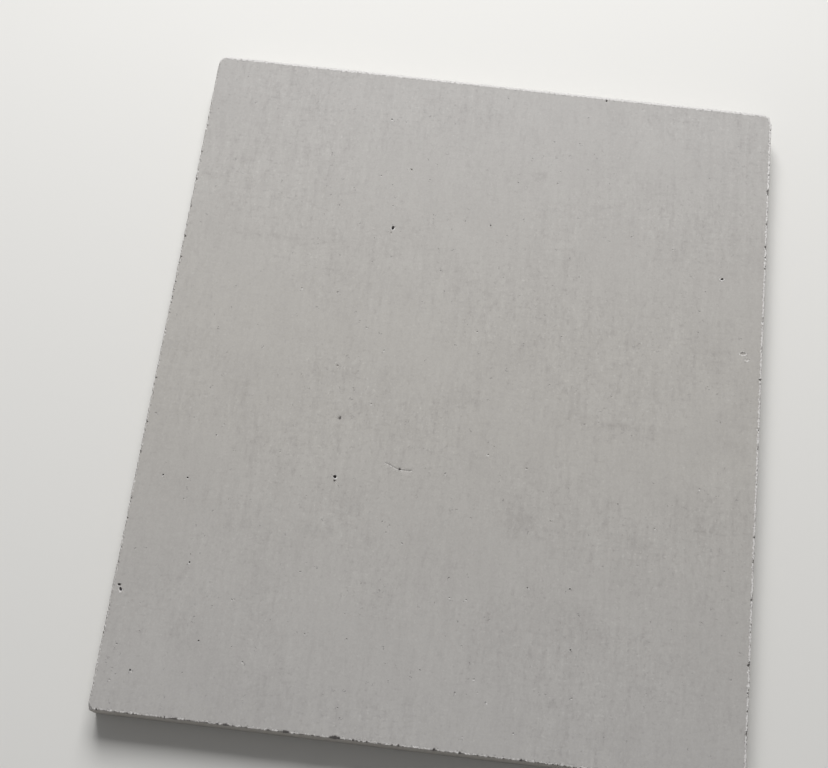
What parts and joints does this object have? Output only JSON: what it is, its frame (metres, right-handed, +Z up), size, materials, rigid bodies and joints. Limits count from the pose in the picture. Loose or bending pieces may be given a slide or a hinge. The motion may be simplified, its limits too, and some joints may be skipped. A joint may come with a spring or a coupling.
{
  "type": "magnesium oxide board",
  "caption": "Flat rectangular sample of sawn magnesium oxide board with worn, flaked arrises, small pits in its fair face and knocked corners.",
  "frame": {"origin": "under the middle of the board, on the surface that it lies on", "axes": "+X across the board, +Y along it from the near side to the far side, +Z up out of the fair face"},
  "size_m": [0.15, 0.175, 0.009],
  "materials": {
    "magnesium_oxide_cement": "matt"
  },
  "bodies": {
    "root": {"board": "magnesium_oxide_cement"}
  },
  "joints": []
}
